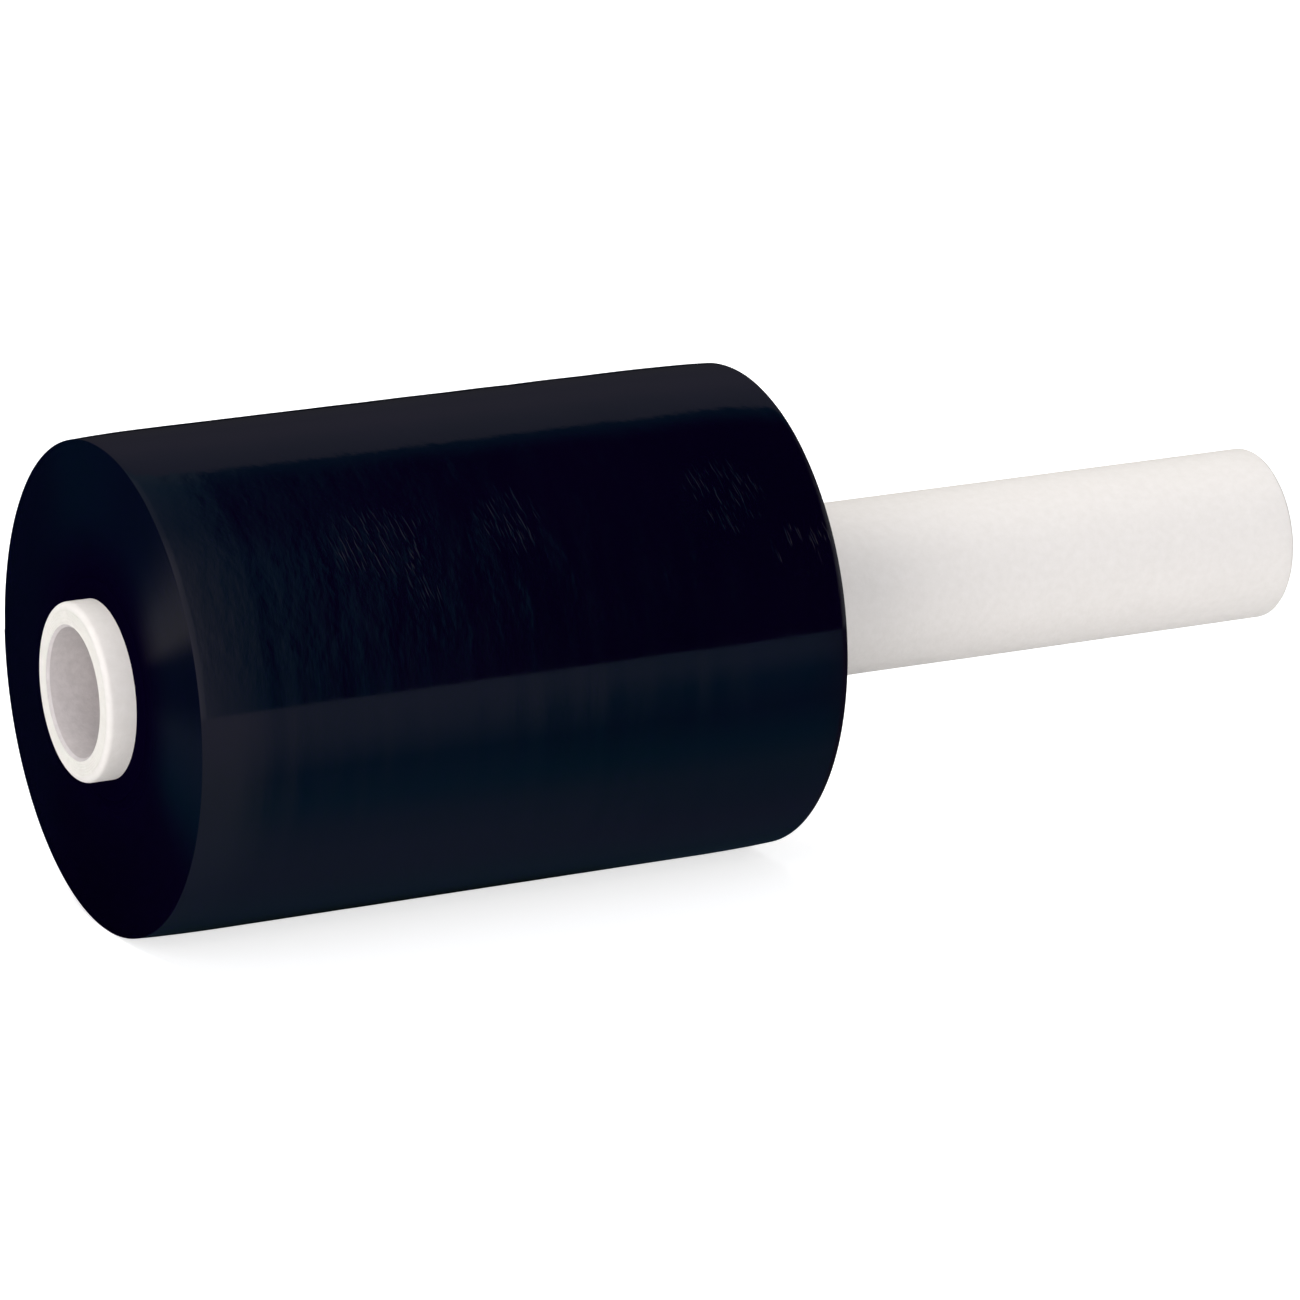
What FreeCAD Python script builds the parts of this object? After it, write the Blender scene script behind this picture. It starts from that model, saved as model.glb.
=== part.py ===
"""A roll of black stretch film wound on a white paper core, whose long free end is the handle.

Millimetres. The roll lies on its side, as it is put down: the core's axis is level, along X,
with the short stub of core at -X and the handle at +X. The origin is on the surface that the
roll lies on, halfway along the core.
"""
import FreeCAD, Part
import math
import os
import Sketcher
from FreeCAD import Vector

SIZES = [
    # name, value, what it measures
    ("film_width", 127.0, "width of the film, along the core"),
    ("film_radius", 45.35, "outside of the wound film"),
    ("tail_step", 0.2, "height of the loose end, folded back on itself, over the turn below it"),
    ("taper_reach", 9.0, "how far in from each end face the wound film starts to fall away"),
    ("taper_drop", 0.4, "how far it has fallen away at the end face"),
    ("flat_depth", 0.5, "how far the soft roll is pressed in where it lies on a surface"),
    ("ring_pitch", 4.8, "mean distance between the rings that show in the end faces"),
    ("ring_width", 0.5, "width of a ring's groove"),
    ("ring_depth", 0.15, "depth of a ring's groove"),
    ("core_radius", 16.3, "outside of the paper core"),
    ("core_wall", 4.5, "thickness of the paper"),
    ("stub_length", 5.3, "how far the core stands out of the film at the short end"),
    ("handle_length", 112.3, "how far it stands out at the handle end"),
    ("outer_lip", 1.1, "rounding of the core's ends on the outside"),
    ("inner_lip", 0.5, "bevel of the core's ends in the bore"),
]
SHEET = "sizes"

# Lengths and places that follow from the sizes, each worked out in its piece's own frame:
# the film's frame is at the middle of the film, and the core's is at the middle of the core
FILM_FACE = "(-sizes.film_width / 2)"
HALF_CORE = "((sizes.stub_length + sizes.film_width + sizes.handle_length) / 2)"
FILM_MIDDLE = f"(sizes.stub_length - {HALF_CORE} - {FILM_FACE})"
AXIS_HEIGHT = "(sizes.film_radius - sizes.flat_depth)"
BORE_RADIUS = "(sizes.core_radius - sizes.core_wall)"

# A cutting shape reaches this far past the surface that it cuts
CUT_MARGIN = 2.0
# Rings stay this many pitches clear of the core and of the film's outside, and wander from
# an even spacing by up to this share of a pitch, in a slow wave of so many radians a ring
RING_MARGIN = 0.8
RING_WANDER = 0.3
RING_WAVE = 2.4
# The least change of volume, in cubic millimetres, that shows that a cut has cut something
LEAST_CUT = 0.5
# Lengths closer than this are the same
SAME = 1e-6

ORIGIN_POINT = (-1, 1)
LEVEL_AXIS = -1
START, END, CENTRE = 1, 2, 3


def make_sheet(doc):
    """The driving dimensions, one row each: name, number, meaning."""
    sheet = doc.addObject("Spreadsheet::Sheet", SHEET)
    for row, (name, value, meaning) in enumerate(SIZES, start=1):
        sheet.set(f"A{row}", name)
        sheet.set(f"B{row}", str(value))
        sheet.set(f"C{row}", meaning)
        sheet.setAlias(f"B{row}", name)
    doc.recompute()
    return sheet


def origin_plane(body, role):
    """One of the body's own three planes."""
    for feature in body.Origin.OriginFeatures:
        if feature.Role == role:
            return feature
    raise ValueError(f"{body.Label} has no {role}")


def new_sketch(body, name, role):
    sketch = body.newObject("Sketcher::SketchObject", name)
    sketch.AttachmentSupport = [(origin_plane(body, role), "")]
    sketch.MapMode = "FlatFace"
    return sketch


def place_of(sketch, along, up):
    """The point whose two distances from the sketch's origin these expressions give."""
    return Vector(sketch.evalExpression(along), sketch.evalExpression(up), 0)


def dimension(sketch, kind, where, expression):
    """A dimension that follows the sheet."""
    value = sketch.evalExpression(expression)
    index = sketch.addConstraint(Sketcher.Constraint(kind, *where, value))
    sketch.setExpression(f"Constraints[{index}]", expression)


def closed_outline(sketch, corners):
    """Straight lines through the corners and back to the first one, each corner tied to its
    two distances from the sketch's origin, which are expressions."""
    places = [place_of(sketch, along, up) for along, up in corners]
    lines = [
        sketch.addGeometry(Part.LineSegment(start, end), False)
        for start, end in zip(places, places[1:] + places[:1])
    ]
    for line, following in zip(lines, lines[1:] + lines[:1]):
        sketch.addConstraint(Sketcher.Constraint("Coincident", line, END, following, START))
    for line, (along, up) in zip(lines, corners):
        dimension(sketch, "DistanceX", (*ORIGIN_POINT, line, START), along)
        dimension(sketch, "DistanceY", (*ORIGIN_POINT, line, START), up)


def turned(body, kind, name, sketch):
    """A full turn of the sketch about the core's axis."""
    feature = body.newObject(kind, name)
    feature.Profile = sketch
    feature.ReferenceAxis = (sketch, ["H_Axis"])
    feature.Angle = 360.0
    return feature


def must_cut(doc, body, feature, before):
    """Stops the build if a cutting feature takes nothing off; gives the volume that is left."""
    doc.recompute()
    if before - feature.Shape.Volume < LEAST_CUT:
        raise RuntimeError(f"{feature.Label} of {body.Label} cuts nothing")
    return feature.Shape.Volume


def winding_sketch(body, sheet):
    """The film's section across the core: one spiral of two half circles, which ends in the
    step of the film's tail, level with the axis on the +Y side."""
    sketch = new_sketch(body, "winding_section", "YZ_Plane")
    radius, step, ahead = sheet.film_radius, sheet.tail_step, Vector(0, 0, 1)
    outer = Part.Circle(Vector(), ahead, radius)
    inner = Part.Circle(Vector(-step / 2, 0, 0), ahead, radius - step / 2)
    tail_line = Part.LineSegment(Vector(radius - step, 0, 0), Vector(radius, 0, 0))
    lower = sketch.addGeometry(Part.ArcOfCircle(outer, math.pi, 2 * math.pi), False)
    upper = sketch.addGeometry(Part.ArcOfCircle(inner, 0, math.pi), False)
    tail = sketch.addGeometry(tail_line, False)
    bore = sketch.addGeometry(Part.Circle(Vector(), ahead, sheet.core_radius), False)
    sketch.addConstraint(
        [
            Sketcher.Constraint("Coincident", lower, CENTRE, *ORIGIN_POINT),
            Sketcher.Constraint("Coincident", bore, CENTRE, *ORIGIN_POINT),
            Sketcher.Constraint("Coincident", upper, END, lower, START),
            Sketcher.Constraint("Coincident", upper, START, tail, START),
            Sketcher.Constraint("Coincident", tail, END, lower, END),
            Sketcher.Constraint("PointOnObject", lower, START, LEVEL_AXIS),
            Sketcher.Constraint("PointOnObject", lower, END, LEVEL_AXIS),
            Sketcher.Constraint("PointOnObject", upper, CENTRE, LEVEL_AXIS),
            Sketcher.Constraint("Horizontal", tail),
        ]
    )
    dimension(sketch, "Radius", (lower,), "sizes.film_radius")
    dimension(sketch, "Radius", (bore,), "sizes.core_radius")
    dimension(sketch, "DistanceX", (tail, START, tail, END), "sizes.tail_step")
    return sketch


def taper_sketch(body):
    """What the taper takes off at the stub end: all that lies outside the line from where the
    film starts to fall away to where it has fallen to at the end face."""
    slope = "sizes.taper_drop / sizes.taper_reach"
    left = f"{FILM_FACE} - {CUT_MARGIN}"
    right = f"{FILM_FACE} + sizes.taper_reach + {CUT_MARGIN}"
    low = f"sizes.film_radius - sizes.taper_drop - {CUT_MARGIN} * {slope}"
    high = f"sizes.film_radius + {CUT_MARGIN} * {slope}"
    top = f"sizes.film_radius + {CUT_MARGIN}"
    sketch = new_sketch(body, "taper_section", "XZ_Plane")
    closed_outline(sketch, [(left, low), (right, high), (right, top), (left, top)])
    return sketch


def rings_sketch(body, sheet):
    """Rings in the end face at the stub end, where the film's edge wandered while it was wound:
    shallow grooves, a little unevenly spaced, from near the core to near the film's outside."""
    pitches_wound = (sheet.film_radius - sheet.core_radius) / sheet.ring_pitch
    front = f"{FILM_FACE} - {CUT_MARGIN}"
    bottom = f"{FILM_FACE} + sizes.ring_depth"
    sketch = new_sketch(body, "rings_section", "XZ_Plane")
    for ring in range(int(pitches_wound - 2 * RING_MARGIN) + 1):
        pitches = RING_MARGIN + ring + RING_WANDER * math.sin(RING_WAVE * ring)
        middle = f"sizes.core_radius + {pitches:.4f} * sizes.ring_pitch"
        inside = f"{middle} - sizes.ring_width / 2"
        outside = f"{middle} + sizes.ring_width / 2"
        closed_outline(
            sketch,
            [
                (front, inside),
                (FILM_FACE, inside),
                (bottom, middle),
                (FILM_FACE, outside),
                (front, outside),
            ],
        )
    return sketch


def flat_sketch(body):
    """Everything below the surface that the roll lies on."""
    side = "sizes.film_radius"
    rest = f"-{AXIS_HEIGHT}"
    below = f"-{AXIS_HEIGHT} - {CUT_MARGIN}"
    sketch = new_sketch(body, "flat_section", "YZ_Plane")
    closed_outline(sketch, [(f"-{side}", below), (side, below), (side, rest), (f"-{side}", rest)])
    return sketch


def make_film_roll(doc, sheet):
    """All the turns of film as one solid, wound tight on the core."""
    body = doc.addObject("PartDesign::Body", "film_roll")
    body.Label = "film_roll"

    wound = body.newObject("PartDesign::Pad", "wound_film")
    wound.Profile = winding_sketch(body, sheet)
    wound.SideType = "Symmetric"
    wound.setExpression("Length", "sizes.film_width")
    doc.recompute()
    volume = wound.Shape.Volume

    taper = turned(body, "PartDesign::Groove", "taper", taper_sketch(body))
    volume = must_cut(doc, body, taper, volume)
    rings = turned(body, "PartDesign::Groove", "end_rings", rings_sketch(body, sheet))
    volume = must_cut(doc, body, rings, volume)

    other_end = body.newObject("PartDesign::Mirrored", "other_end")
    other_end.Originals = [taper, rings]
    other_end.MirrorPlane = (origin_plane(body, "YZ_Plane"), [""])
    body.Tip = other_end
    volume = must_cut(doc, body, other_end, volume)

    flat = body.newObject("PartDesign::Pocket", "rest_flat")
    flat.Profile = flat_sketch(body)
    flat.SideType = "Symmetric"
    flat.setExpression("Length", f"sizes.film_width + 2 * {CUT_MARGIN}")
    must_cut(doc, body, flat, volume)
    return body


def rim_edges(shape, radius, half_length):
    """Names of the round edges of this radius at both ends of the core."""
    names = []
    for number, edge in enumerate(shape.Edges, start=1):
        circle = edge.Curve
        if not isinstance(circle, Part.Circle) or abs(circle.Radius - radius) > SAME:
            continue
        if abs(abs(circle.Center.x) - half_length) < SAME:
            names.append(f"Edge{number}")
    return names


def make_core_tube(doc, sheet):
    """The paper core: a plain tube from end to end, with softened lips."""
    body = doc.addObject("PartDesign::Body", "core_tube")
    body.Label = "core_tube"

    wall = new_sketch(body, "wall_section", "XZ_Plane")
    outside = "sizes.core_radius"
    closed_outline(
        wall,
        [
            (f"-{HALF_CORE}", BORE_RADIUS),
            (HALF_CORE, BORE_RADIUS),
            (HALF_CORE, outside),
            (f"-{HALF_CORE}", outside),
        ],
    )
    tube = turned(body, "PartDesign::Revolution", "tube", wall)
    doc.recompute()
    half_length = sheet.evalExpression(HALF_CORE)

    outer_lips = body.newObject("PartDesign::Fillet", "outer_lips")
    outer_lips.Base = (tube, rim_edges(tube.Shape, sheet.core_radius, half_length))
    outer_lips.setExpression("Radius", "sizes.outer_lip")
    volume = must_cut(doc, body, outer_lips, tube.Shape.Volume)

    bore = sheet.evalExpression(BORE_RADIUS)
    inner_lips = body.newObject("PartDesign::Chamfer", "inner_lips")
    inner_lips.Base = (outer_lips, rim_edges(outer_lips.Shape, bore, half_length))
    inner_lips.setExpression("Size", "sizes.inner_lip")
    must_cut(doc, body, inner_lips, volume)
    return body


def lay_down(film_roll, core_tube):
    """Lays both on the surface, with the middle of the core over the origin."""
    film_roll.setExpression("Placement.Base.x", FILM_MIDDLE)
    for body in (film_roll, core_tube):
        body.setExpression("Placement.Base.z", AXIS_HEIGHT)


def check(doc, bodies):
    """Stops the build if a feature failed or a piece isn't one sound solid."""
    for feature in doc.Objects:
        if "Invalid" in feature.State or "Error" in feature.State:
            raise RuntimeError(f"{feature.Label} failed: {feature.State}")
    for body in bodies:
        shape = body.Shape
        if shape.isNull() or not shape.isValid() or len(shape.Solids) != 1:
            raise RuntimeError(f"{body.Label} is not one valid solid")


def main():
    doc = FreeCAD.newDocument("stretch_wrap_roll")
    sheet = make_sheet(doc)
    bodies = [make_film_roll(doc, sheet), make_core_tube(doc, sheet)]
    lay_down(*bodies)
    doc.recompute()
    check(doc, bodies)
    os.makedirs("parts", exist_ok=True)
    for body in bodies:
        body.Shape.exportStep(f"parts/{body.Label}.step")
        box = body.Shape.optimalBoundingBox(False)
        print(
            f"{body.Label}: {body.Shape.Volume:.0f} mm3,"
            f" x {box.XMin:.2f} to {box.XMax:.2f},"
            f" y {box.YMin:.2f} to {box.YMax:.2f},"
            f" z {box.ZMin:.2f} to {box.ZMax:.2f}"
        )


main()
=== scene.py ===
"""The looks of a stretch wrap roll: glossy black film wound on a white paper core.

Metres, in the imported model's frame: the core along X with the handle at +X, the roll lying on
z = 0. An angle round the roll is 0 at the front (-Y), a quarter turn at the top (+Z) and minus
a quarter turn underneath. The film's loose end is at the back, half a turn from the front.
Lengths and places in the materials are in mm, and colours are red, green and blue.
"""
import math

import bmesh
import bpy
import numpy as np
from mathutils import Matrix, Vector


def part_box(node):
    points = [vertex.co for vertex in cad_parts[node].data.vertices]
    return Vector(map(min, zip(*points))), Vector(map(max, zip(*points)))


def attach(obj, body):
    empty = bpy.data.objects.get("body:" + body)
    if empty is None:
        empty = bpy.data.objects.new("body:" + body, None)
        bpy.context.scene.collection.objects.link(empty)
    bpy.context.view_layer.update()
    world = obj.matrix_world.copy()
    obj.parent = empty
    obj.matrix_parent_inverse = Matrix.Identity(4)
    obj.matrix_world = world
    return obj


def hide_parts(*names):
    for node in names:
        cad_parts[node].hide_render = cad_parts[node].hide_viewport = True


MM = 0.001
BLACK = (0, 0, 0)
WHITE = (1, 1, 1)

# Sizes that the film and the core share with their solids. The rings in the film's end faces
# stay RING_MARGIN pitches clear of the core and of the outside, and wander from an even spacing
# by up to RING_WANDER of a pitch, in a slow wave of RING_WAVE radians a ring
TAIL_STEP = 0.2 * MM
FACE_DROP = 0.4 * MM
RING_PITCH = 4.8 * MM
RING_WIDTH = 0.5 * MM
RING_DEPTH = 0.15 * MM
RING_MARGIN = 0.8
RING_WANDER = 0.3
RING_WAVE = 2.4
CORE_WALL = 4.5 * MM
OUTER_LIP = 1.1 * MM
INNER_LIP = 0.5 * MM

# Both meshes: points closer than this are one, and edges bent by more than this are sharp
SAME_POINT = 0.0001 * MM
SHARP_ANGLE = math.radians(40)

# Film mesh. Its ends fall away over the crown's reach
FILM_COLUMNS = 420
FILM_ROW_STEP = 1.25 * MM
RIM_ROUNDING = 0.1 * MM
RIM_STEPS = 3
CROWN_REACH = 18 * MM
CROWN_POWER = 2.5
FACE_RING_STEP = 1.6 * MM
FACE_UNEVEN = 0.008 * MM
# The roll is pressed flat only where its outside faces down by at least this sine
UNDERSIDE = 0.5

# Core mesh
CORE_COLUMNS = 256
CORE_ROW_STEP = 4.0 * MM
CORE_UNEVEN = 0.015 * MM
LIP_STEPS = 6
PLY_COUNT = 6
PLY_GAP = 0.06 * MM
PLY_DEPTH = 0.05 * MM
PLY_WANDER = 0.15

# Sums of waves: how many waves, the fewest and most times that one goes round the roll, the
# shortest and longest along it, and the usual height of the sum
GAUGE_BANDS = (14, (0, 2), (4 * MM, 16 * MM), 0.005 * MM)
SLOW_WAVES = (30, (6, 18), (9 * MM, 40 * MM), 0.012 * MM)
TAIL_RIPPLES = (10, (0, 6), (5 * MM, 12 * MM), 0.03 * MM)
TAIL_WANDER = (5, (0, 0), (18 * MM, 90 * MM), math.radians(0.6))
CORE_WAVES = (8, (1, 4), (40 * MM, 150 * MM), CORE_UNEVEN)
# The film's waves lie about this far down. On its lower half the slow ones have only this share
# of their height, and the ripples fade out this far round from the loose end
LEAST_DIP = 0.07 * MM
LOWER_SHARE = 0.15
UPPER_FROM = math.radians(5)
RIPPLE_REACH = math.radians(14)

# Noises in the materials: the size of their features along the core, across and up, how much
# finer detail they have and how rough it is, and an offset that makes one differ from the next
FILM_PATCHES = dict(size=(30, 30, 30), offset=7)
FILM_SCUFFS = dict(size=(3, 14, 14), detail=4, offset=3)
FILM_RIDGES = dict(size=(0.9, 8, 8), detail=2.5)
FILM_DENTS = dict(size=(2.2, 3.5, 3.5), detail=3, offset=11)
WRINKLE_STROKES = dict(size=(0.7, 4, 4), detail=1, offset=21)
WRINKLE_CLUSTERS = dict(size=(6, 6, 6), detail=1, offset=5)
END_WANDER = dict(size=(12, 12, 12))
END_PATCHES = dict(size=(14, 14, 14), offset=4)
PAPER_MOTTLE = dict(size=(1.5, 1.5, 1.5), detail=4, roughness=0.6)
PAPER_CLOUDS = dict(size=(24, 24, 24), detail=2, offset=9)
PAPER_FIBRES = dict(size=(0.7, 0.7, 0.7), detail=3, roughness=0.6, offset=2)
# Noise values lie mostly between these
NOISE_RANGE = (0.3, 0.7)

# Film's outside
SIDE_BLACKS = [(0.0009, 0.0002, 0.0052), (0.0014, 0.0003, 0.0062)]
SIDE_ROUGHNESS = (0.05, 0.11)
GLOSS_IOR = 1.5
RIDGE_HEIGHT = 0.004
DENT_HEIGHT = 0.034
DENTS_FADE_IN = (48, 62)
# Its wrinkles are slanted strokes, in patches on the front. Each patch has a place along the
# core and a height, and how far it reaches along and up from there
WRINKLE_HEIGHT = 0.021
WRINKLE_SLANT = 0.25
WRINKLE_PATCHES = [(-77, 75, 13, 6), (-71, 68, 4, 6), (-52, 76, 7, 6), (-9, 75, 10, 7),
                   (3, 66, 8, 6)]
PATCH_EDGE = (1.0, 0.4)
STROKE_EDGE = (0.50, 0.74)
CLUSTER_EDGE = (0.32, 0.50)
WRINKLES_FADE_IN = (0, -10)

# Film's end faces. Their outer part is glossy, and its turns lean out a little. The lean fades
# out towards the back
END_BLACKS = [(0.0011, 0.0003, 0.0067), (0.0014, 0.0005, 0.0076)]
END_PATCH_BLACK = (0.0012, 0.0003, 0.0071)
END_PATCH_SHARE = 0.6
END_ROUGHNESS = (0.7, 0.9)
TURNS_PER_MM = 2.2
TURN_DETAIL = 3
TURN_WANDER = 0.8
TURN_HEIGHT = 0.008
TURN_LEAN = (0.395, 0.415)
LEAN_FADE = (30, -10)
GLOSSY_RADIUS = (20, 34)
COAT_ROUGHNESS = 0.1

# Paper: the colours of its pale and dark mottle, and how high its fibres stand
PAPER_OUTSIDE = [(0.885, 0.845, 0.81), (0.84, 0.80, 0.76), 0.03]
PAPER_CUT_END = [(0.88, 0.85, 0.80), (0.83, 0.795, 0.74), 0.05]
PAPER_BORE = [(0.69, 0.64, 0.635), (0.59, 0.545, 0.54), 0.05]
PAPER_ROUGHNESS = (0.70, 0.85)
PAPER_SPECULAR = 0.3
CLOUD_SHARE = 0.12

# Camera: a long lens at the photograph's viewing angle, turned from +Y towards +X and down
FRAME_PIXELS = 1300
FOCAL_PIXELS = 7513
SENSOR_WIDTH = 36.0
VIEW_TURN = math.radians(27.06)
VIEW_DOWN = math.radians(15.77)
VIEW_DISTANCE = 1.33705
FACE_TO_VIEW_RIGHT = 97.83 * MM
FACE_TO_VIEW_UP = 6.98 * MM

# Lamps: place, width and power
LAMPS = {
    "back_lamp": ((-0.2, 0.5, 1.35), 1.2, 17.2),
    "front_lamp": ((-0.2, -1.6, 0.5), 1.4, 4.9),
    "right_lamp": ((1.0, -1.3, 0.5), 1.2, 3.5),
    "left_lamp": ((-0.75, -0.55, 0.15), 0.55, 3.1),
    "high_left_lamp": ((-1.3, -0.6, 1.0), 1.0, 3.8)}
LAMP_COLOUR = (1.0, 0.965, 0.925)

# Floor: its glow is for the camera alone, and its light for everything
FLOOR_REACH = 1.4
FLOOR_DROP = 0.05 * MM
FLOOR_COLOUR = (0.85, 0.85, 0.85)
FLOOR_GLOW = 0.59
FLOOR_LIGHT = 0.10

# The room that the gloss reflects, in parts. A part's colours run along x or z of the direction
# from the roll, or along its turn about the core: 0 degrees at the front and -90 straight down
WALL_BY_Z = [
    (-0.05, (0.028, 0.029, 0.033)), (0.03, (0.033, 0.034, 0.038)), (0.30, (0.062, 0.064, 0.077)),
    (0.51, (0.100, 0.104, 0.124)), (0.70, (0.115, 0.135, 0.158)), (0.80, (0.12, 0.145, 0.17))]
WINDOW_BY_Z = [
    (-0.60, (0, 0.01, 0.02)), (-0.53, (0, 0.035, 0.05)), (-0.44, (0, 0.08, 0.10)),
    (-0.36, (0.03, 0.105, 0.145)), (-0.27, (0.06, 0.125, 0.165)), (-0.18, (0, 0.04, 0.05)),
    (-0.07, (0, 0.045, 0.06)), (-0.03, (0.38, 0.39, 0.38)), (0.04, (0.27, 0.30, 0.32)),
    (0.08, (0.09, 0.13, 0.16)), (0.12, (0, 0.04, 0.055))]
CORNER_BY_X = [
    (-0.80, (0, 0.03, 0.045)), (-0.50, (0, 0.028, 0.043)), (-0.29, (0, 0.018, 0.028)),
    (0.0, (0, 0.008, 0.012))]
ROOM_BY_X = [
    (0.05, (0.50, 0.52, 0.60)), (0.25, (0.35, 0.40, 0.46)), (0.30, (0.20, 0.26, 0.31)),
    (0.335, (0.12, 0.20, 0.245)), (0.37, (0.03, 0.14, 0.18)), (0.396, (0, 0.09, 0.125)),
    (0.404, (0, 0.04, 0.06)), (0.413, (0, 0.01, 0.015)), (0.43, (0, 0, 0.001)),
    (0.58, (0, 0, 0.001)), (0.72, (0.60, 0.61, 0.64))]
LEFT_TABLE_BY_TURN = [
    (-180, (0.002, 0.003, 0.003)), (-130, (0.014, 0.029, 0.044)), (-98, (0.060, 0.095, 0.134)),
    (-66, (0.155, 0.215, 0.27)), (-34, (0.23, 0.29, 0.33)), (-9, (0.31, 0.34, 0.41))]
MIDDLE_TABLE_BY_TURN = [
    (-180, (0.002, 0.003, 0.003)), (-146, (0.004, 0.008, 0.008)), (-130, (0.014, 0.029, 0.048)),
    (-114, (0.028, 0.052, 0.080)), (-98, (0.050, 0.077, 0.120)), (-82, (0.068, 0.110, 0.162)),
    (-66, (0.060, 0.125, 0.170)), (-50, (0.012, 0.125, 0.165)), (-34, (0, 0.105, 0.140)),
    (-18, (0.120, 0.200, 0.255)), (-9, (0.150, 0.220, 0.280))]
RIGHT_TABLE_BY_TURN = [
    (-180, (0.002, 0.003, 0.003)), (-130, (0.014, 0.029, 0.046)), (-98, (0.042, 0.065, 0.105)),
    (-66, (0.040, 0.115, 0.145)), (-50, (0, 0.105, 0.135)), (-34, (0, 0.068, 0.095)),
    (-20, (0, 0.100, 0.140)), (-9, (0.095, 0.180, 0.245))]
TABLE_END = (0.06, 0.06, 0.06)
FRINGE = [(0, 0.05, 0.065), (0.09, 0.165, 0.19)]
DIM_TEAL = (0, 0.10, 0.13)
DIM_SHARE = 0.6

# Soft edges between the room's parts: where a share is still 0, and where it is 1
WALL_Y = (-0.05, 0.25)
WALL_LEVEL = (0.797, 0.769)
FRINGE_X = (0.39, 0.34)
FRINGE_Y = (0.0, 0.1)
FRINGE_LEVEL = (0.88, 0.80)
DIM_TEAL_X = (0.385, 0.345)
BRIGHT_FRONT_Y = (0.0, -0.45)
TABLE_Z = (-0.03, -0.04)
LEFT_TABLE_X = (0.40, 0.33)
RIGHT_TABLE_X = (0.42, 0.44)
TABLE_END_X = (0.50, 0.60)
LEFT_SIDE_X = (0.1, -0.1)
LEFT_SIDE_Y = (0.1, 0.25)
CORNER_X = (-0.82, -0.62)
CORNER_Z = (-0.36, -0.12)
# The top of the wall behind falls by this much for each step in x past this place
WALL_FALL = 0.5
WALL_FALLS_FROM = 0.4

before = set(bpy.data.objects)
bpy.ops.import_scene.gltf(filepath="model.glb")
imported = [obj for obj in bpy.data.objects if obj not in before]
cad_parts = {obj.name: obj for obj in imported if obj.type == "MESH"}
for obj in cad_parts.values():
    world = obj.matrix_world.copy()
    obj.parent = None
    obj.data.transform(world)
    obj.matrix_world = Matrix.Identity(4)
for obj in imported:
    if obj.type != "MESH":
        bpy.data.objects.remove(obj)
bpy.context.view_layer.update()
film_low, film_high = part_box("film_roll")
core_low, core_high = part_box("core_tube")
AXIS_HEIGHT = (core_low.z + core_high.z) / 2
FILM_MIDDLE = (film_low.x + film_high.x) / 2
FILM_RADIUS = film_high.y
CORE_RADIUS = core_high.y
BORE_RADIUS = CORE_RADIUS - CORE_WALL

random = np.random.default_rng(5)


# Meshes

def roll_points(x, angle, radius):
    """Points at these places along the core, angles round the roll and radii."""
    y = -radius * np.cos(angle)
    z = AXIS_HEIGHT + radius * np.sin(angle)
    return np.stack(np.broadcast_arrays(x, y, z), axis=-1)


def ring_of_rows(rows, columns):
    """Quads between neighbouring rows and columns of a grid of points that closes both ways."""
    row, column = np.meshgrid(np.arange(rows), np.arange(columns), indexing="ij")
    next_row = (row + 1) % rows * columns
    next_column = (column + 1) % columns
    here = row * columns
    quads = [here + column, here + next_column, next_row + next_column, next_row + column]
    return np.stack(quads, axis=-1).reshape(-1, 4)


def make_piece(name, points, row_material, materials):
    """A closed piece from rows of points. A row's material is that of the faces between it and
    the next row."""
    rows, columns = points.shape[:2]
    mesh = bpy.data.meshes.new(name)
    mesh.from_pydata(points.reshape(-1, 3).tolist(), [], ring_of_rows(rows, columns).tolist())
    for material in materials:
        mesh.materials.append(material)
    mesh.polygons.foreach_set("material_index", np.repeat(row_material, columns).astype(np.int32))
    mesh.polygons.foreach_set("use_smooth", np.ones(rows * columns, bool))

    clean = bmesh.new()
    clean.from_mesh(mesh)
    bmesh.ops.remove_doubles(clean, verts=clean.verts, dist=SAME_POINT)
    bmesh.ops.recalc_face_normals(clean, faces=clean.faces)
    clean.to_mesh(mesh)
    clean.free()
    mesh.set_sharp_from_angle(angle=SHARP_ANGLE)
    piece = bpy.data.objects.new(name, mesh)
    bpy.context.scene.collection.objects.link(piece)
    return piece


def waves(x, angle, count, turns, lengths, height):
    """A sum of waves that close round the roll."""
    total = np.zeros(np.broadcast(x, angle).shape)
    for _ in range(count):
        around = random.integers(turns[0], turns[1] + 1)
        along = random.choice([-1, 1]) * 2 * math.pi / random.uniform(*lengths)
        phase = random.uniform(0, 2 * math.pi)
        total = total + np.cos(around * angle + along * x + phase)
    return total * height * math.sqrt(2 / count)


def film_dip(x, angle):
    """How far the film's outside dips under its full radius: bands where the film runs thicker
    or thinner, slow waves on its upper half, and ripples beside the loose end."""
    upper_half = np.clip(np.sin(angle - UPPER_FROM), 0, 1)
    from_tail = (math.pi - np.abs(angle)) / RIPPLE_REACH
    dip = waves(x, angle, *GAUGE_BANDS)
    dip += waves(x, angle, *SLOW_WAVES) * (LOWER_SHARE + (1 - LOWER_SHARE) * upper_half)
    dip += waves(x, angle, *TAIL_RIPPLES) * np.exp(-from_tail**2)
    return np.clip(LEAST_DIP + dip, 0, None)


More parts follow.
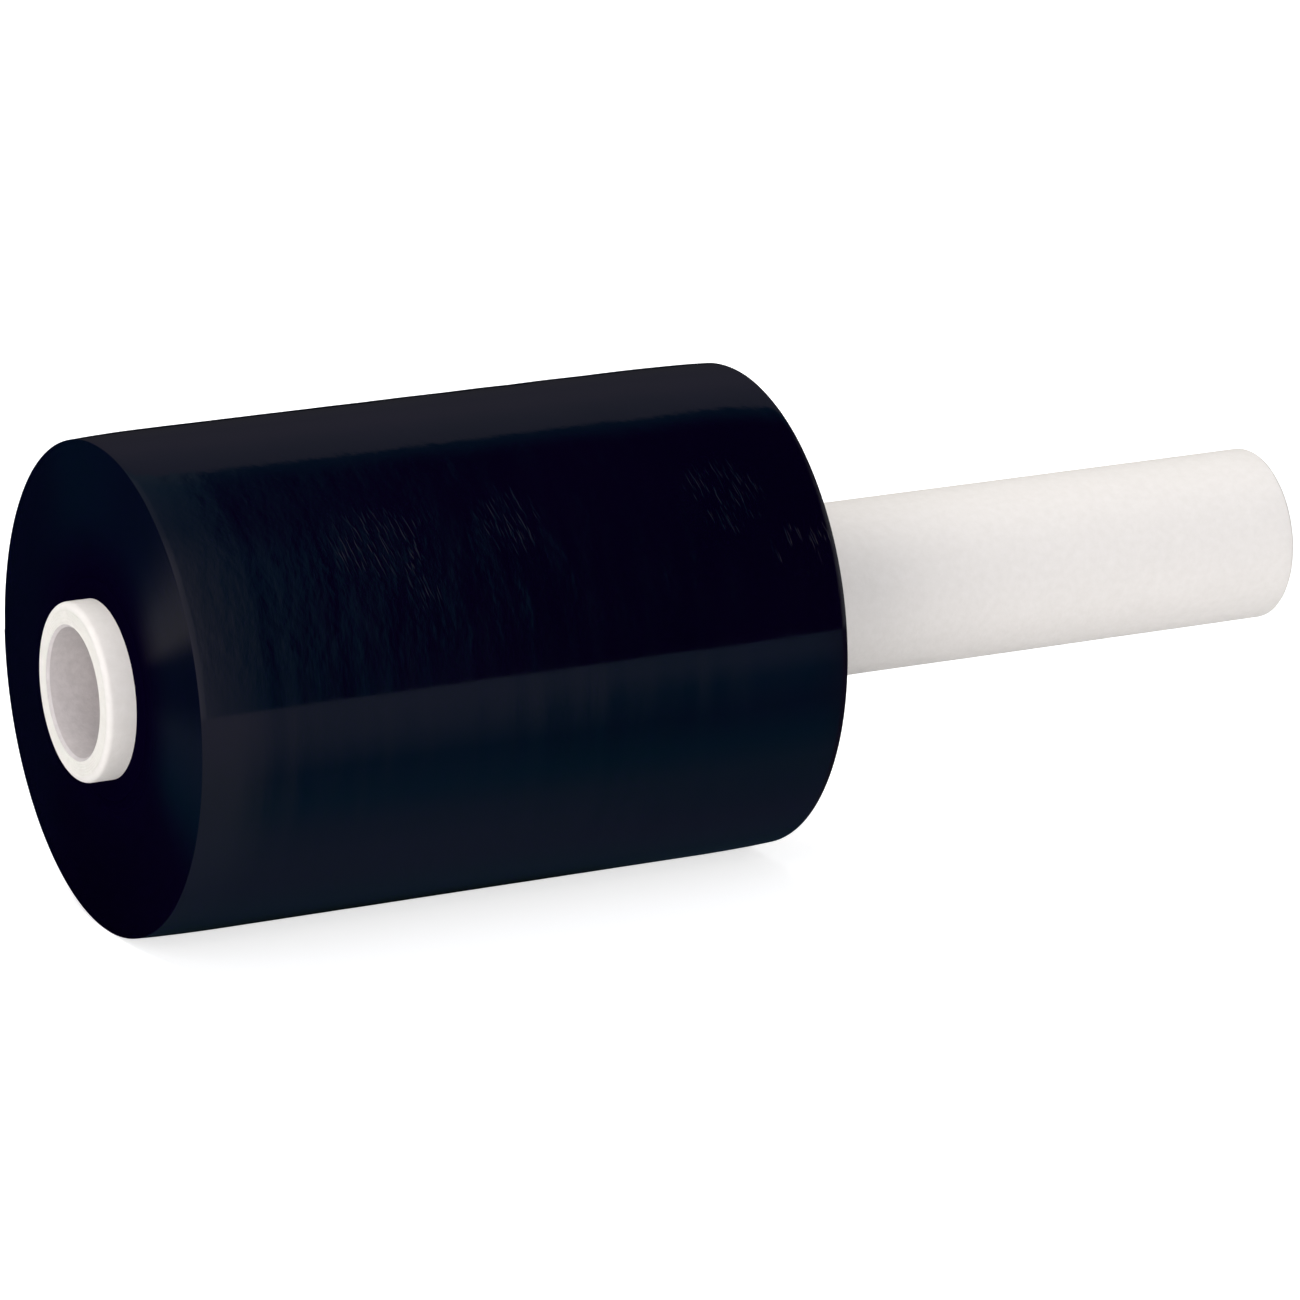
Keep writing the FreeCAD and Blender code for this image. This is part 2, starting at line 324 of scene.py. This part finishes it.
def film_outside(x, angle):
    """The radius of the wound film at these places, with its ends falling away a little, a step
    down behind the loose end, and its underside pressed flat where the soft roll lies."""
    from_end = np.minimum(x - film_low.x, film_high.x - x)
    crown = FACE_DROP * np.clip(1 - from_end / CROWN_REACH, 0, 1) ** CROWN_POWER
    under_tail = TAIL_STEP * (1 - np.cos(np.clip(angle, 0, math.pi))) / 2
    round_radius = FILM_RADIUS - crown - under_tail - film_dip(x, angle)
    down = np.maximum(-np.sin(angle), UNDERSIDE)
    pressed = np.minimum(round_radius, AXIS_HEIGHT / down)
    return np.where(down > UNDERSIDE, pressed, round_radius)


def face_rings():
    """Radii across an end face of the film, from the core outwards, and how deep the face lies
    at each: the solid's rings, with slightly uneven turns of film between them."""
    pitches_wound = (FILM_RADIUS - CORE_RADIUS) / RING_PITCH
    depth_at = {}
    grooves = []
    for ring in range(int(pitches_wound - 2 * RING_MARGIN) + 1):
        pitches = RING_MARGIN + ring + RING_WANDER * math.sin(RING_WAVE * ring)
        groove = CORE_RADIUS + pitches * RING_PITCH
        grooves.append(groove)
        depth_at[groove - RING_WIDTH / 2] = 0.0
        depth_at[groove] = RING_DEPTH
        depth_at[groove + RING_WIDTH / 2] = 0.0
    last = FILM_RADIUS - FACE_DROP - FACE_RING_STEP
    for radius in np.arange(CORE_RADIUS + FACE_RING_STEP / 2, last, FACE_RING_STEP):
        if min(abs(radius - groove) for groove in grooves) > RING_WIDTH:
            depth_at[radius] = random.uniform(0, FACE_UNEVEN)
    radii = np.array(sorted(depth_at))
    return radii, np.array([depth_at[radius] for radius in radii])


def rounded_corner(rounding, steps):
    """How far the points of a rounded corner lie in from the end, and how far down from the
    outside, going from the outside to the end."""
    corner = np.linspace(0, math.pi / 2, steps + 1)
    return rounding * (1 - np.sin(corner)), rounding * (1 - np.cos(corner))


def rows_between(low, high, count):
    """Places that split a length into so many rows, without its two ends."""
    return np.linspace(low, high, count + 1)[1:-1]


def make_film(materials):
    """The wound film: outside, rims, end faces and bore. Its seam is the film's loose end."""
    rim_in, rim_drop = rounded_corner(RIM_ROUNDING, RIM_STEPS)
    inner_rows = round((film_high.x - film_low.x) / FILM_ROW_STEP)
    inner = rows_between(film_low.x, film_high.x, inner_rows)
    x = np.concatenate([film_low.x + rim_in[::-1], inner, film_high.x - rim_in])[:, None]
    drop = np.concatenate([rim_drop[::-1], np.zeros(len(inner)), rim_drop])[:, None]

    tail = math.pi + waves(x, 0, *TAIL_WANDER)
    angle = tail - 2 * math.pi * (1 - np.linspace(0, 1, FILM_COLUMNS + 1))
    outside = roll_points(x, angle, film_outside(x, angle) - drop)

    radii, depths = face_rings()
    radii, depths = radii[:, None], depths[:, None]
    near_face = roll_points(film_low.x + depths, angle[0], radii)
    far_face = roll_points(film_high.x - depths, angle[-1], radii)[::-1]
    far_bore = roll_points(film_high.x, angle[-1:], CORE_RADIUS)
    near_bore = roll_points(film_low.x, angle[:1], CORE_RADIUS)
    points = np.concatenate([near_face, outside, far_face, far_bore, near_bore])

    # The outside's material also covers the outermost strip of each rim
    is_end = np.ones(len(points), int)
    first_side_row = len(radii) + RIM_STEPS - 1
    is_end[first_side_row:first_side_row + inner_rows + 2] = 0
    return make_piece("wound_film", points, is_end, materials)


def ply_edges():
    """Radii and depths across a cut end of the core, from the bore outwards: a fine line
    between each paper ply and the next."""
    inside = BORE_RADIUS + INNER_LIP
    outside = CORE_RADIUS - OUTER_LIP
    edges = []
    for ply in range(1, PLY_COUNT):
        plies_in = ply + random.uniform(-PLY_WANDER, PLY_WANDER)
        line = inside + (outside - inside) * plies_in / PLY_COUNT
        edges += [(line - PLY_GAP, 0.0), (line, PLY_DEPTH), (line + PLY_GAP, 0.0)]
    return edges


def core_profile():
    """Places along the core and radii round its section: outside from end to end, then the far
    end, the bore back, and the near end. Each has the number of its material: 0 for the
    outside, 1 for the cut ends and 2 for the bore."""
    corner = list(zip(*rounded_corner(OUTER_LIP, LIP_STEPS)))
    rows = round((core_high.x - core_low.x) / CORE_ROW_STEP)
    bore = np.linspace(core_high.x - INNER_LIP, core_low.x + INNER_LIP, rows // 3)
    plies = ply_edges()
    profile = [(core_low.x + inset, CORE_RADIUS - drop, 0) for inset, drop in reversed(corner)]
    profile += [(x, CORE_RADIUS, 0) for x in rows_between(core_low.x, core_high.x, rows)]
    profile += [(core_high.x - inset, CORE_RADIUS - drop, 0) for inset, drop in corner]
    profile += [(core_high.x - depth, radius, 1) for radius, depth in reversed(plies)]
    profile += [(core_high.x, BORE_RADIUS + INNER_LIP, 1)]
    profile += [(x, BORE_RADIUS, 2) for x in bore]
    profile += [(core_low.x, BORE_RADIUS + INNER_LIP, 1)]
    profile += [(core_low.x + depth, radius, 1) for radius, depth in plies]
    return profile


def make_core(materials):
    """The paper tube with its rounded lips, not quite even round its outside."""
    x, radius, material = np.array(core_profile()).T[:, :, None]
    angle = np.linspace(0, 2 * math.pi, CORE_COLUMNS, endpoint=False)[None, :]
    dip = np.clip(CORE_UNEVEN + waves(x, angle, *CORE_WAVES), 0, None)
    points = roll_points(x, angle, radius - dip * (material == 0))
    return make_piece("paper_core", points, material[:, 0], materials)


# Materials

def opaque(colour):
    """A plain colour with its alpha. Another node's output stays as it is."""
    return colour if isinstance(colour, bpy.types.NodeSocket) else (*colour, 1)


class Nodes:
    """Adds nodes to one node tree. An input is another node's output, or a plain value."""

    def __init__(self, owner):
        owner.use_nodes = True
        self.tree = owner.node_tree
        self.tree.nodes.clear()

    def add(self, kind, inputs=None, **settings):
        node = self.tree.nodes.new("ShaderNode" + kind)
        for name, value in settings.items():
            setattr(node, name, value)
        for name, value in (inputs or {}).items():
            if isinstance(value, bpy.types.NodeSocket):
                self.tree.links.new(value, node.inputs[name])
            else:
                node.inputs[name].default_value = value
        return node

    def math(self, operation, *values):
        return self.add("Math", dict(enumerate(values)), operation=operation).outputs[0]

    def smooth(self, value, start, end):
        """0 at the start and 1 at the end, with a soft step between."""
        inputs = {"Value": value, "From Min": start, "From Max": end}
        return self.add("MapRange", inputs, interpolation_type="SMOOTHSTEP").outputs[0]

    def between(self, noise, low, high):
        """A noise value taken from its usual range to low to high."""
        usual_low, usual_high = NOISE_RANGE
        inputs = {"Value": noise, "From Min": usual_low, "From Max": usual_high}
        inputs.update({"To Min": low, "To Max": high})
        return self.add("MapRange", inputs).outputs[0]

    def mix(self, share, first, second):
        """A colour between two."""
        inputs = {0: share, 6: opaque(first), 7: opaque(second)}
        return self.add("Mix", inputs, data_type="RGBA").outputs[2]

    def ramp(self, value, stops):
        """A colour that changes along a value. stops are the values and their colours."""
        low, high = stops[0][0], stops[-1][0]
        share = self.add("MapRange", {"Value": value, "From Min": low, "From Max": high})
        node = self.add("ValToRGB", {"Fac": share.outputs[0]})
        elements = node.color_ramp.elements
        while len(elements) < len(stops):
            elements.new(0.5)
        for element, (place, _) in zip(elements, stops):
            element.position = (place - low) / (high - low)
        for element, (_, colour) in zip(elements, stops):
            element.color = opaque(colour)
        return node.outputs["Color"]

    def separate(self, vector):
        """A vector's x, y and z."""
        return self.add("SeparateXYZ", {"Vector": vector}).outputs

    def combine(self, x, y, z):
        return self.add("CombineXYZ", {"X": x, "Y": y, "Z": z}).outputs[0]

    def millimetres(self):
        """The surface's own places in the piece, in mm."""
        place = self.add("TexCoord").outputs["Object"]
        scaled = self.add("VectorMath", {0: place, "Scale": 1 / MM}, operation="SCALE")
        return scaled.outputs[0]

    def noise(self, place, size, detail=2.0, roughness=0.5, offset=0.0):
        """Noise whose features are about this size along x, y and z."""
        inputs = {"Vector": place, "Scale": [1 / length for length in size]}
        inputs["Location"] = [offset] * 3
        scaled = self.add("Mapping", inputs).outputs[0]
        inputs = {"Vector": scaled, "Scale": 1.0, "Detail": detail, "Roughness": roughness}
        return self.add("TexNoise", inputs).outputs["Fac"]

    def bump(self, height):
        """The normal of a surface with this height in mm."""
        return self.add("Bump", {"Height": height, "Distance": MM}).outputs[0]

    def output(self, shader, kind="OutputMaterial"):
        self.add(kind, {"Surface": shader})


def wrinkle_strokes(nodes, place):
    """Short slanted strokes, 0 to 1, in clusters in the wrinkled patches of the film's front."""
    x, y, z = nodes.separate(place)
    slanted = nodes.combine(nodes.math("MULTIPLY_ADD", z, WRINKLE_SLANT, x), y, z)
    strokes = nodes.smooth(nodes.noise(slanted, **WRINKLE_STROKES), *STROKE_EDGE)
    patches = 0.0
    for along, height, reach_along, reach_up in WRINKLE_PATCHES:
        from_middle = nodes.math("DIVIDE", nodes.math("SUBTRACT", x, along), reach_along)
        from_height = nodes.math("DIVIDE", nodes.math("SUBTRACT", z, height), reach_up)
        squares = nodes.math("MULTIPLY_ADD", from_middle, from_middle,
                             nodes.math("MULTIPLY", from_height, from_height))
        patches = nodes.math("ADD", nodes.smooth(squares, *PATCH_EDGE), patches)
    clusters = nodes.smooth(nodes.noise(place, **WRINKLE_CLUSTERS), *CLUSTER_EDGE)
    front = nodes.math("MULTIPLY", nodes.smooth(y, *WRINKLES_FADE_IN), clusters)
    return nodes.math("MULTIPLY", strokes, nodes.math("MULTIPLY", patches, front))


def film_side_material():
    """The film's outside: clear gloss over black, lightly scuffed, with fine ridges round the
    roll where the stretched film was laid on, dents in its upper part, and small wrinkles."""
    material = bpy.data.materials.new("film_side")
    nodes = Nodes(material)
    place = nodes.millimetres()
    _, _, z = nodes.separate(place)
    colour = nodes.mix(nodes.between(nodes.noise(place, **FILM_PATCHES), 0, 1), *SIDE_BLACKS)
    roughness = nodes.between(nodes.noise(place, **FILM_SCUFFS), *SIDE_ROUGHNESS)

    height = nodes.math("MULTIPLY", nodes.noise(place, **FILM_RIDGES), RIDGE_HEIGHT)
    dents = nodes.math("MULTIPLY", nodes.noise(place, **FILM_DENTS),
                       nodes.smooth(z, *DENTS_FADE_IN))
    height = nodes.math("MULTIPLY_ADD", dents, DENT_HEIGHT, height)
    height = nodes.math("MULTIPLY_ADD", wrinkle_strokes(nodes, place), WRINKLE_HEIGHT, height)

    shader = nodes.add("BsdfPrincipled", {
        "Base Color": colour, "Roughness": roughness, "IOR": GLOSS_IOR,
        "Normal": nodes.bump(height)})
    nodes.output(shader.outputs[0])
    return material


def leaning_normal(nodes, x, y, up, lean):
    """The normal of an end face whose turns lean out from the axis by lean for each mm."""
    outwards = nodes.math("SIGN", nodes.math("SUBTRACT", x, FILM_MIDDLE / MM))
    normal = nodes.combine(
        outwards, nodes.math("MULTIPLY", y, lean), nodes.math("MULTIPLY", up, lean))
    return nodes.add("VectorTransform", {0: normal}, vector_type="NORMAL",
                     convert_from="OBJECT", convert_to="WORLD").outputs[0]


def film_end_material():
    """The cut edges of the turns: dull black with fine rings, and glossy further out."""
    material = bpy.data.materials.new("film_end")
    nodes = Nodes(material)
    place = nodes.millimetres()
    x, y, z = nodes.separate(place)
    up = nodes.math("SUBTRACT", z, AXIS_HEIGHT / MM)
    squares = nodes.math("ADD", nodes.math("MULTIPLY", y, y), nodes.math("MULTIPLY", up, up))
    radius = nodes.math("SQRT", squares)
    wander = nodes.noise(place, **END_WANDER)
    turn_place = nodes.math("MULTIPLY_ADD", wander, TURN_WANDER, radius)
    rings = nodes.add("TexNoise", {"W": turn_place, "Scale": TURNS_PER_MM, "Detail": TURN_DETAIL},
                      noise_dimensions="1D").outputs["Fac"]
    patches = nodes.noise(place, **END_PATCHES)
    colour = nodes.mix(nodes.between(rings, 0, 1), *END_BLACKS)
    colour = nodes.mix(nodes.between(patches, 0, END_PATCH_SHARE), colour, END_PATCH_BLACK)

    lean = nodes.math("DIVIDE", nodes.between(rings, *TURN_LEAN), radius)
    lean = nodes.math("MULTIPLY", lean, nodes.smooth(y, *LEAN_FADE))
    shader = nodes.add("BsdfPrincipled", {
        "Base Color": colour, "Roughness": nodes.between(patches, *END_ROUGHNESS),
        "IOR": GLOSS_IOR, "Specular IOR Level": 0.0,
        "Normal": nodes.bump(nodes.math("MULTIPLY", rings, TURN_HEIGHT)),
        "Coat Weight": nodes.smooth(radius, *GLOSSY_RADIUS), "Coat Roughness": COAT_ROUGHNESS,
        "Coat IOR": GLOSS_IOR, "Coat Normal": leaning_normal(nodes, x, y, up, lean)})
    nodes.output(shader.outputs[0])
    return material


def paper_material(name, pale, dark, fibre_height):
    """Matt white paper with faint mottling and fibres."""
    material = bpy.data.materials.new(name)
    nodes = Nodes(material)
    place = nodes.millimetres()
    mottle = nodes.noise(place, **PAPER_MOTTLE)
    clouds = nodes.noise(place, **PAPER_CLOUDS)
    share = nodes.math("MULTIPLY_ADD", clouds, CLOUD_SHARE,
                       nodes.math("MULTIPLY", mottle, 1 - CLOUD_SHARE))
    fibres = nodes.math("MULTIPLY", nodes.noise(place, **PAPER_FIBRES), fibre_height)
    shader = nodes.add("BsdfPrincipled", {
        "Base Color": nodes.mix(nodes.between(share, 0, 1), dark, pale),
        "Roughness": nodes.between(mottle, *PAPER_ROUGHNESS), "IOR": GLOSS_IOR,
        "Specular IOR Level": PAPER_SPECULAR, "Normal": nodes.bump(fibres)})
    nodes.output(shader.outputs[0])
    return material


# Studio

def aim(thing, direction):
    """Turns a camera or lamp to look along a direction, upright."""
    thing.rotation_mode = "QUATERNION"
    thing.rotation_quaternion = direction.to_track_quat("-Z", "Y")


def make_camera():
    """The camera at the photograph's viewing angle."""
    forward = Vector((math.sin(VIEW_TURN) * math.cos(VIEW_DOWN),
                      math.cos(VIEW_TURN) * math.cos(VIEW_DOWN), -math.sin(VIEW_DOWN)))
    right = Vector((math.cos(VIEW_TURN), -math.sin(VIEW_TURN), 0))
    up = right.cross(forward)
    face = Vector((film_low.x, 0, AXIS_HEIGHT))
    target = face + right * FACE_TO_VIEW_RIGHT + up * FACE_TO_VIEW_UP
    camera = bpy.data.objects.new("camera", bpy.data.cameras.new("camera"))
    camera.data.sensor_width = SENSOR_WIDTH
    camera.data.lens = SENSOR_WIDTH * FOCAL_PIXELS / FRAME_PIXELS
    camera.location = target - forward * VIEW_DISTANCE
    aim(camera, forward)
    bpy.context.scene.collection.objects.link(camera)
    bpy.context.scene.camera = camera


def left_side(nodes, x, z):
    """Behind the roll at the left: a window, and a corner that is black at its foot."""
    corner = nodes.mix(nodes.smooth(z, *CORNER_Z), BLACK, nodes.ramp(x, CORNER_BY_X))
    return nodes.mix(nodes.smooth(x, *CORNER_X), nodes.ramp(z, WINDOW_BY_Z), corner)


def front_room(nodes, x, y, level):
    """In front and above: bright at the left and far right, black between and dimmer overhead,
    with a teal fringe above the wall behind."""
    room = nodes.ramp(x, ROOM_BY_X)
    overhead = nodes.mix(nodes.smooth(x, *DIM_TEAL_X), BLACK, DIM_TEAL)
    overhead = nodes.mix(DIM_SHARE, room, overhead)
    room = nodes.mix(nodes.smooth(y, *BRIGHT_FRONT_Y), overhead, room)
    above_wall = nodes.math("MULTIPLY", nodes.smooth(y, *FRINGE_Y),
                            nodes.smooth(level, *FRINGE_LEVEL))
    return nodes.mix(above_wall, room, nodes.mix(nodes.smooth(x, *FRINGE_X), *FRINGE))


def table_top(nodes, x, y, z):
    """Below: a table top, brighter towards the front and the left, that ends at the right."""
    turn = nodes.math("ARCTAN2", z, nodes.math("MULTIPLY", y, -1))
    turn = nodes.math("MULTIPLY", turn, math.degrees(1))
    left = nodes.ramp(turn, LEFT_TABLE_BY_TURN)
    middle = nodes.ramp(turn, MIDDLE_TABLE_BY_TURN)
    right = nodes.ramp(turn, RIGHT_TABLE_BY_TURN)
    table = nodes.mix(nodes.smooth(x, *RIGHT_TABLE_X), middle, right)
    table = nodes.mix(nodes.smooth(x, *LEFT_TABLE_X), table, left)
    return nodes.mix(nodes.smooth(x, *TABLE_END_X), table, TABLE_END)


def make_world():
    """The room that the gloss reflects: a table top below, a pale wall behind the roll up to a
    sharp edge, a room in front and above, and a window behind the roll at the left. The camera
    itself sees white."""
    world = bpy.data.worlds.new("studio")
    bpy.context.scene.world = world
    nodes = Nodes(world)
    x, y, z = nodes.separate(nodes.add("TexCoord").outputs["Generated"])

    past = nodes.math("MAXIMUM", nodes.math("SUBTRACT", x, WALL_FALLS_FROM), 0.0)
    level = nodes.math("MULTIPLY_ADD", past, WALL_FALL, z)
    on_wall = nodes.math("MULTIPLY", nodes.smooth(y, *WALL_Y), nodes.smooth(level, *WALL_LEVEL))
    colour = nodes.mix(on_wall, front_room(nodes, x, y, level), nodes.ramp(z, WALL_BY_Z))
    colour = nodes.mix(nodes.smooth(z, *TABLE_Z), colour, table_top(nodes, x, y, z))
    at_left = nodes.math("MULTIPLY", nodes.smooth(x, *LEFT_SIDE_X), nodes.smooth(y, *LEFT_SIDE_Y))
    colour = nodes.mix(at_left, colour, left_side(nodes, x, z))

    for_camera = nodes.add("LightPath").outputs["Is Camera Ray"]
    background = nodes.add("Background", {"Color": nodes.mix(for_camera, colour, WHITE)})
    nodes.output(background.outputs[0], "OutputWorld")


def make_floor():
    """A plain white floor that keeps a faint shadow. The film's gloss sees the world instead."""
    material = bpy.data.materials.new("floor")
    nodes = Nodes(material)
    matt = nodes.add("BsdfDiffuse", {"Color": opaque(FLOOR_COLOUR)})
    for_camera = nodes.add("LightPath").outputs["Is Camera Ray"]
    strength = nodes.math("MULTIPLY_ADD", for_camera, FLOOR_GLOW, FLOOR_LIGHT)
    glow = nodes.add("Emission", {"Strength": strength})
    both = nodes.add("AddShader", {0: matt.outputs[0], 1: glow.outputs[0]})
    nodes.output(both.outputs[0])

    mesh = bpy.data.meshes.new("floor")
    corners = [(-1, -1), (1, -1), (1, 1), (-1, 1)]
    mesh.from_pydata([(a * FLOOR_REACH, b * FLOOR_REACH, -FLOOR_DROP) for a, b in corners], [],
                     [(0, 1, 2, 3)])
    mesh.materials.append(material)
    floor = bpy.data.objects.new("floor", mesh)
    floor.visible_glossy = False
    bpy.context.scene.collection.objects.link(floor)


def make_lamp(name, place, size, power):
    """A square area lamp that shines at the roll and isn't seen itself."""
    lamp = bpy.data.objects.new(name, bpy.data.lights.new(name, "AREA"))
    lamp.data.size = size
    lamp.data.energy = power
    lamp.data.color = LAMP_COLOUR
    lamp.location = place
    aim(lamp, Vector((0, 0, AXIS_HEIGHT)) - Vector(place))
    lamp.visible_camera = False
    lamp.visible_glossy = False
    bpy.context.scene.collection.objects.link(lamp)


def dress(piece, node):
    """The piece stands for a solid and moves with it, and the solid itself is hidden."""
    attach(piece, "root")
    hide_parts(node)


def main():
    bpy.context.scene.view_settings.view_transform = "Standard"
    make_camera()
    make_world()
    make_floor()
    for name, (place, size, power) in LAMPS.items():
        make_lamp(name, place, size, power)

    film = make_film([film_side_material(), film_end_material()])
    dress(film, "film_roll")

    core = make_core([
        paper_material("paper_outside", *PAPER_OUTSIDE),
        paper_material("paper_cut_end", *PAPER_CUT_END),
        paper_material("paper_bore", *PAPER_BORE)])
    dress(core, "core_tube")


main()
